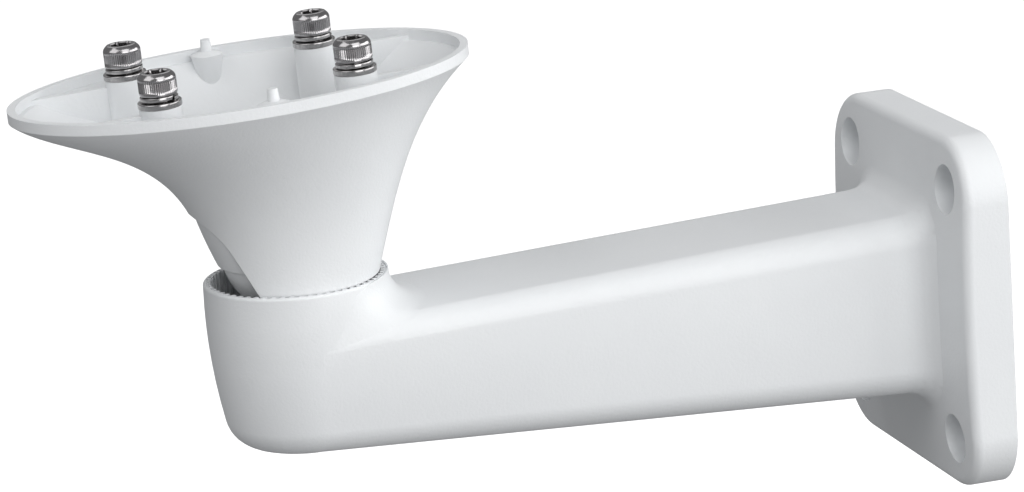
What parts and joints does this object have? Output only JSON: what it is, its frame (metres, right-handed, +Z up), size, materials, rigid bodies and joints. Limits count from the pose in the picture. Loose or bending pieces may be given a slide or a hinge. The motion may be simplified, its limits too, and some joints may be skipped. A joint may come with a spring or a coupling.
{
  "type": "wall bracket for a camera housing",
  "caption": "Hollow die-cast wall arm whose clamped ball joint carries an oval trumpet head that a camera housing bolts on.",
  "frame": {"origin": "middle of the wall hole pattern, on the flat back of the wall plate", "axes": "-X out from the wall along the arm to the head, +Y sideways, +Z up"},
  "size_m": [0.2573, 0.096, 0.1434],
  "materials": {
    "powder_coat": "white powder coat, satin, fine grain",
    "zinc_steel": "bright zinc plate",
    "stainless": "polished stainless steel",
    "white_plastic": "moulded, matt"
  },
  "bodies": {
    "arm": {"arm_casting": "powder_coat", "clamp_nut": "stainless", "cup_plug": "white_plastic"},
    "swivel": {"ball_knuckle": "powder_coat", "ball_saddle": "zinc_steel", "clamp_washer": "stainless", "clamp_spring_washer": "stainless", "clamp_bolt": "stainless"},
    "head": {"head_casting": "powder_coat", "flat_washer_front_left": "stainless", "spring_washer_front_left": "stainless", "housing_screw_front_left": "stainless", "flat_washer_back_left": "stainless", "spring_washer_back_left": "stainless", "housing_screw_back_left": "stainless", "flat_washer_front_right": "stainless", "spring_washer_front_right": "stainless", "housing_screw_front_right": "stainless", "flat_washer_back_right": "stainless", "spring_washer_back_right": "stainless", "housing_screw_back_right": "stainless"}
  },
  "joints": [
    {"name": "pan", "type": "hinge", "parent": "arm", "child": "swivel", "pos_m": [-0.185, 0, 0.0281], "axis": [0, 0, 1], "continuous": true},
    {"name": "tilt", "type": "hinge", "parent": "swivel", "child": "head", "pos_m": [-0.185, 0, 0.0371], "axis": [0, -1, 0], "range_deg": [-8, 30]}
  ]
}
